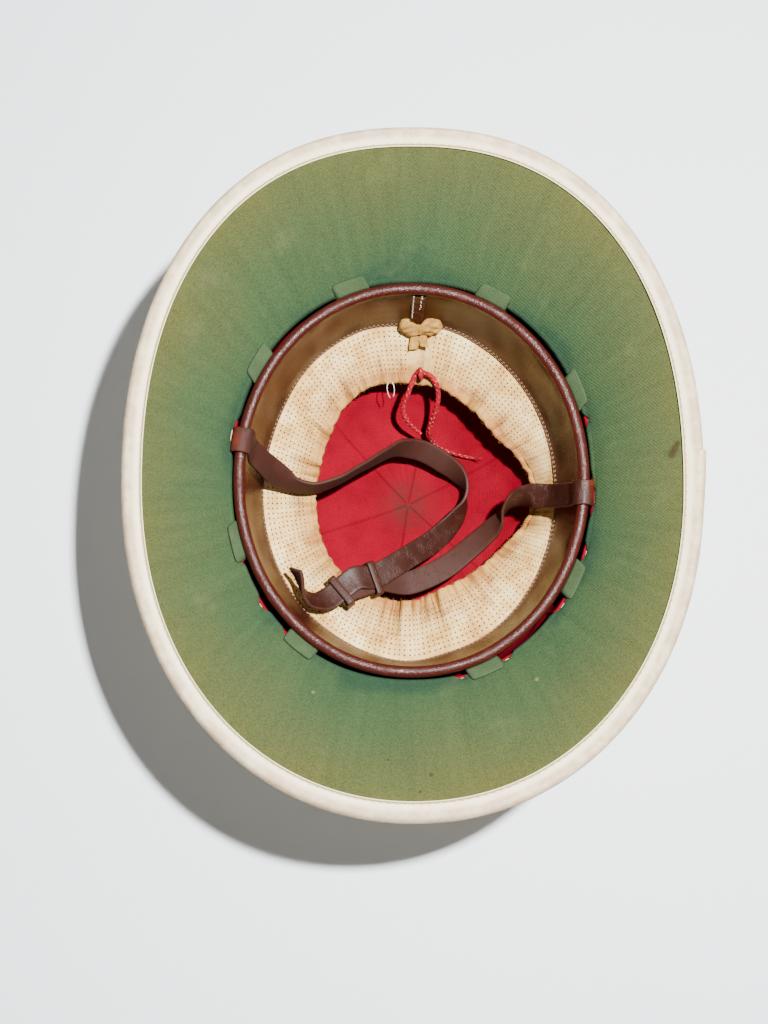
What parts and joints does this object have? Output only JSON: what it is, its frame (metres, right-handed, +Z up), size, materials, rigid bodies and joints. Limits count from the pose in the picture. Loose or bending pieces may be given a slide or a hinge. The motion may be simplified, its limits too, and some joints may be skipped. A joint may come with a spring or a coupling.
{
  "type": "pith helmet",
  "caption": "Sun helmet with a wide oval brim, lying upside down: green-lined brim, red crown lining, leather sweatband, gathered mesh liner, drawstring and chin strap.",
  "frame": {"origin": "on the flat face of the ventilator button that the helmet rests on, under the middle of the crown", "axes": "+Z up, out of the hollow; +Y towards the back of the helmet, where the sweatband is seamed; +X to the right as seen from above with the back at the top"},
  "size_m": [0.289, 0.347, 0.1569],
  "materials": {
    "cream_cloth": "plain cotton cloth over pith",
    "red_cloth": "crimson cotton lining, faded at the crown",
    "green_cloth": "green cotton twill lining",
    "cream_tape": "ribbed cotton binding tape, stitched",
    "brown_leather": "glossy brown leather, scuffed",
    "strap_leather": "worn dark leather, brown flesh side",
    "mesh_cotton": "pierced cream cotton, stained at the hem",
    "ribbon": "frayed golden ribbon",
    "red_cord": "braided red cotton cord",
    "green_felt": "light green felt"
  },
  "bodies": {
    "root": {"crown_shell": "cream_cloth", "brim_shell": "cream_cloth", "crown_lining": "red_cloth", "brim_lining": "green_cloth", "rim_binding": "cream_tape", "crown_band": "cream_cloth", "vent_button": "cream_cloth", "sweatband": "brown_leather", "sweatband_seam": "brown_leather", "sweatband_bow": "ribbon", "mesh_liner": "mesh_cotton", "drawstring": "red_cord", "drawstring_end": "red_cord", "spacer_1": "green_felt", "spacer_2": "green_felt", "spacer_3": "green_felt", "spacer_4": "green_felt", "spacer_5": "green_felt", "spacer_6": "green_felt", "spacer_7": "green_felt", "spacer_8": "green_felt", "chin_strap_left": "strap_leather", "chin_strap_right": "strap_leather", "strap_keeper_1": "strap_leather", "strap_keeper_2": "strap_leather"}
  },
  "joints": []
}
